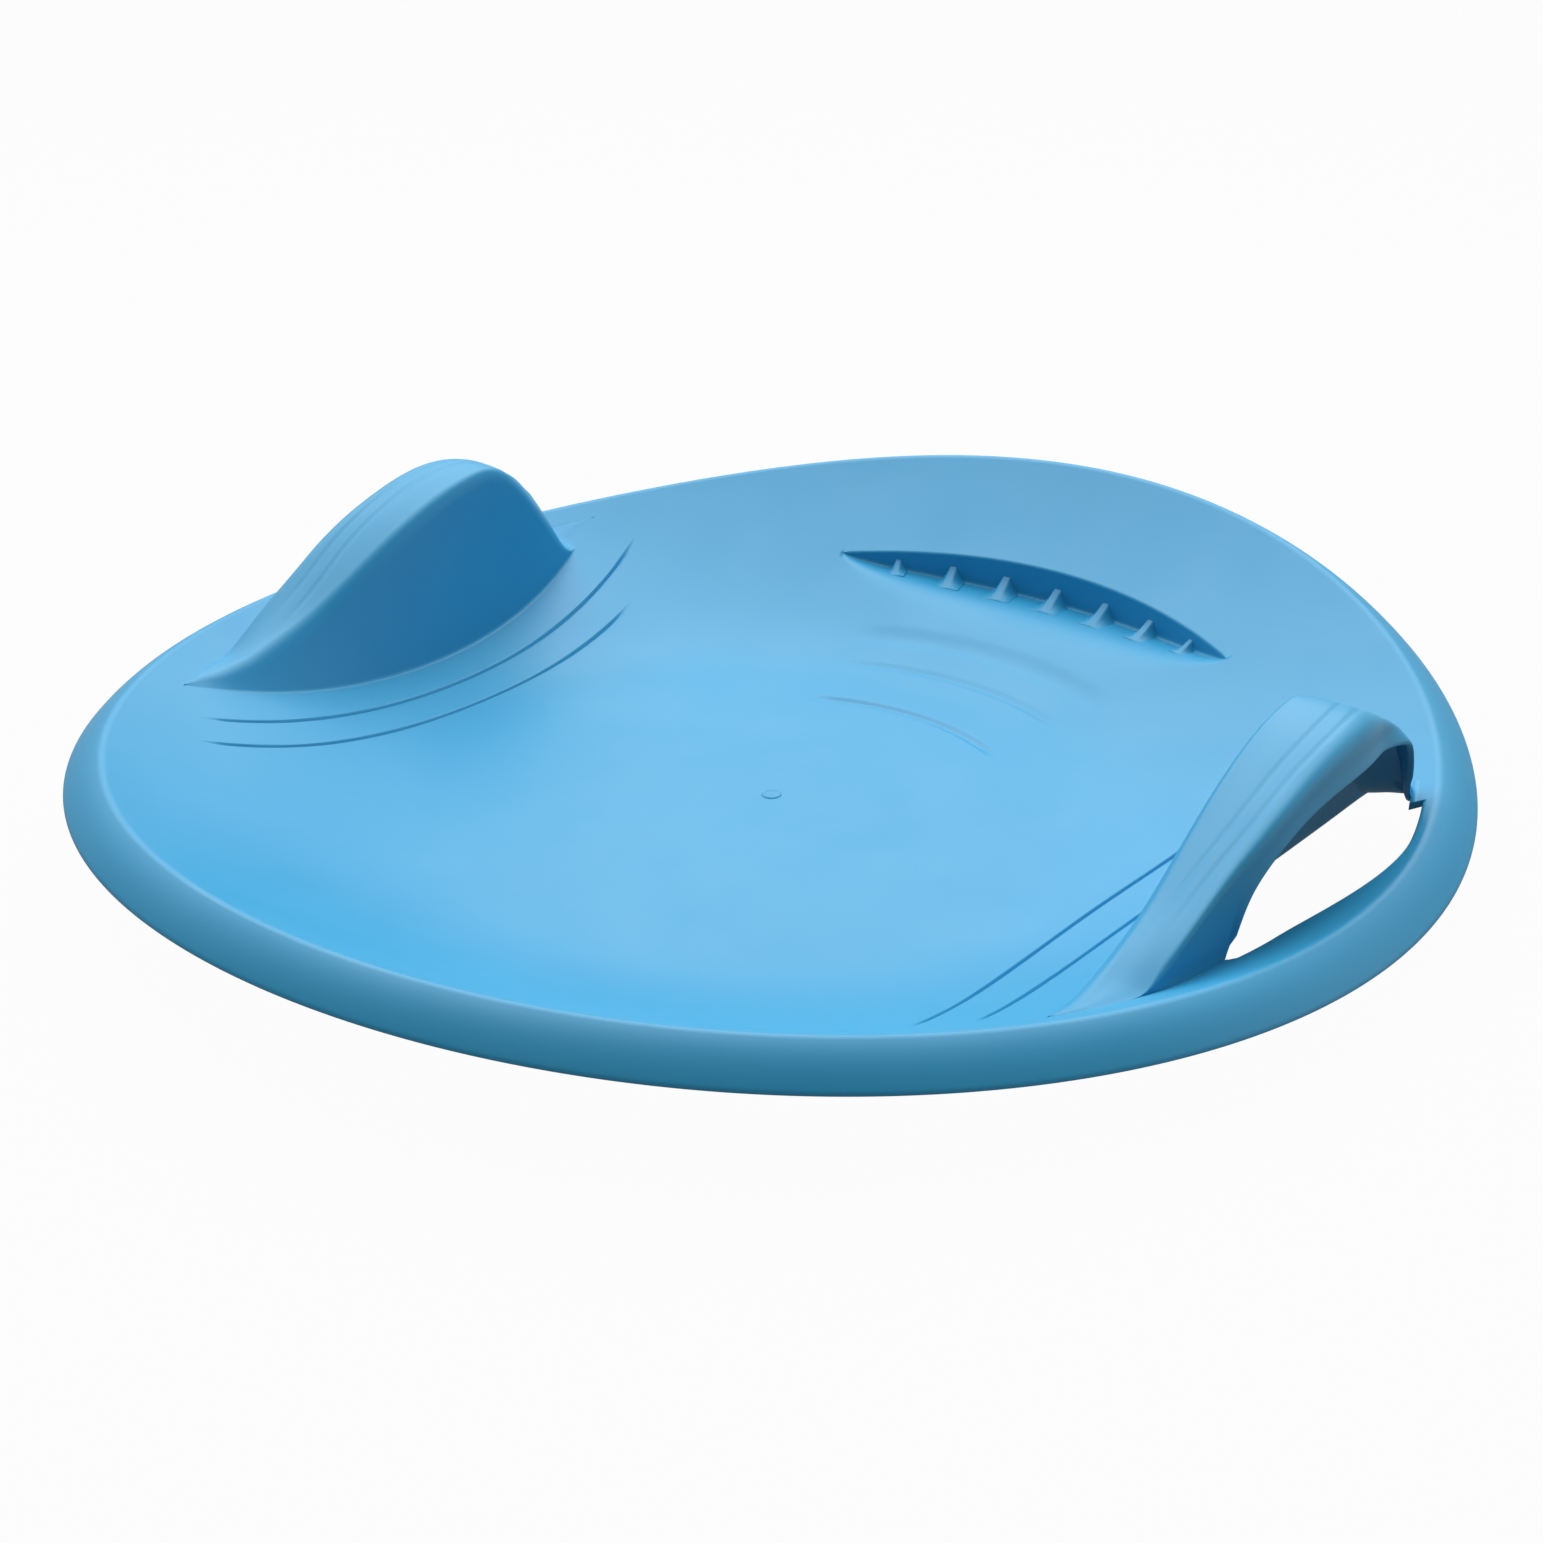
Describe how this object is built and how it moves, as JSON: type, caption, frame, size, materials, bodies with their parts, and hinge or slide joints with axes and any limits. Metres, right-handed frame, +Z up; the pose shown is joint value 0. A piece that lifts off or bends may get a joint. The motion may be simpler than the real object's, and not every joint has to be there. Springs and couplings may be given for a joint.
{
  "type": "saucer sled",
  "caption": "Round moulded saucer sled with a raised front, a turned-down skirt, two moulded side handles with hand holes and a toothed foot rest.",
  "frame": {"origin": "middle of the flat underside, where the sled rests", "axes": "+X to the rider's right, +Y to the front, +Z up"},
  "size_m": [0.6, 0.6, 0.0925],
  "materials": {
    "blue_plastic": "satin moulded polyolefin, sky blue"
  },
  "bodies": {
    "root": {"floor_pan": "blue_plastic", "gate_boss": "blue_plastic", "front_bowl": "blue_plastic", "rear_bowl": "blue_plastic", "left_bowl": "blue_plastic", "right_bowl": "blue_plastic", "front_rim": "blue_plastic", "rear_rim": "blue_plastic", "left_rail": "blue_plastic", "right_rail": "blue_plastic", "left_handle_wall": "blue_plastic", "right_handle_wall": "blue_plastic", "left_handle_band": "blue_plastic", "right_handle_band": "blue_plastic", "left_handle_lip": "blue_plastic", "right_handle_lip": "blue_plastic", "foot_rest_wall": "blue_plastic", "foot_rest_floor": "blue_plastic", "foot_rest_teeth": "blue_plastic"}
  },
  "joints": []
}
